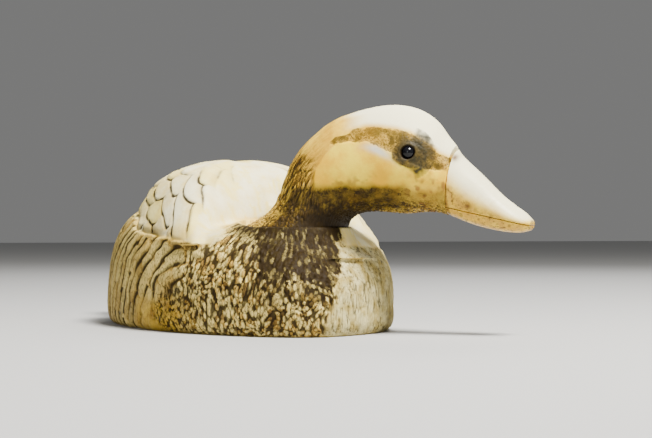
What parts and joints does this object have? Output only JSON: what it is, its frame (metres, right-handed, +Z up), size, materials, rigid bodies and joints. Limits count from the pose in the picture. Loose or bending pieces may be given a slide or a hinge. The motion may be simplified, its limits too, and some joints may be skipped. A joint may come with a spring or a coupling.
{
  "type": "floating duck decoy",
  "caption": "Low-headed floating duck decoy: hollow carved wooden body with a turning head, glass eyes, inset bill, screwed bottom board, ballast and folding anchor ring.",
  "frame": {"origin": "on the flat bottom, on the centre line under the middle of the body", "axes": "+X forward along the body, +Y to the duck's left, +Z up"},
  "size_m": [0.2632, 0.1434, 0.103],
  "materials": {
    "body_paint": "carved wood, cream paint over ochre with dark stain in the carving, semi-gloss varnish",
    "head_paint": "carved wood, cream paint with brown eye stripe, semi-gloss varnish",
    "bill_paint": "carved hardwood, cream to ochre paint with brown stain, gloss varnish",
    "board_wood": "sealed cedar board, oiled",
    "block_wood": "bare plywood",
    "dowel_wood": "bare birch dowel",
    "gasket_rubber": "matt sheet rubber",
    "brass": "dull brass with brown tarnish",
    "steel": "plain stainless steel",
    "ballast_metal": "dull grey cast weight",
    "disc_leather": "oiled leather",
    "eye_glass": "polished dark glass",
    "eye_putty": "painted wood putty, satin"
  },
  "bodies": {
    "hull": {"body_shell": "body_paint", "bottom_board": "board_wood", "bottom_gasket": "gasket_rubber", "board_screws": "brass", "ballast_weight": "ballast_metal", "ballast_screws": "brass", "line_eye": "brass", "line_eye_screws": "brass", "friction_disc": "disc_leather", "neck_block": "block_wood"},
    "turning_head": {"head": "head_paint", "upper_bill": "bill_paint", "lower_bill": "bill_paint", "bill_dowel": "dowel_wood", "eye_left": "eye_glass", "eye_right": "eye_glass", "eye_putty_left": "eye_putty", "eye_putty_right": "eye_putty", "neck_insert": "brass", "neck_stud": "steel", "upper_washer": "steel", "lower_washer": "steel", "neck_spring": "steel", "neck_nut": "steel"},
    "ring": {"anchor_ring": "brass"}
  },
  "joints": [
    {"name": "head_turn", "type": "hinge", "parent": "hull", "child": "turning_head", "pos_m": [0.054, 0, 0.044], "axis": [0, 0, 1], "range_deg": [-100, 10]},
    {"name": "ring_swing", "type": "hinge", "parent": "hull", "child": "ring", "pos_m": [0.068, 0, 0.00475], "axis": [0, -1, 0], "range_deg": [0, 110]}
  ]
}
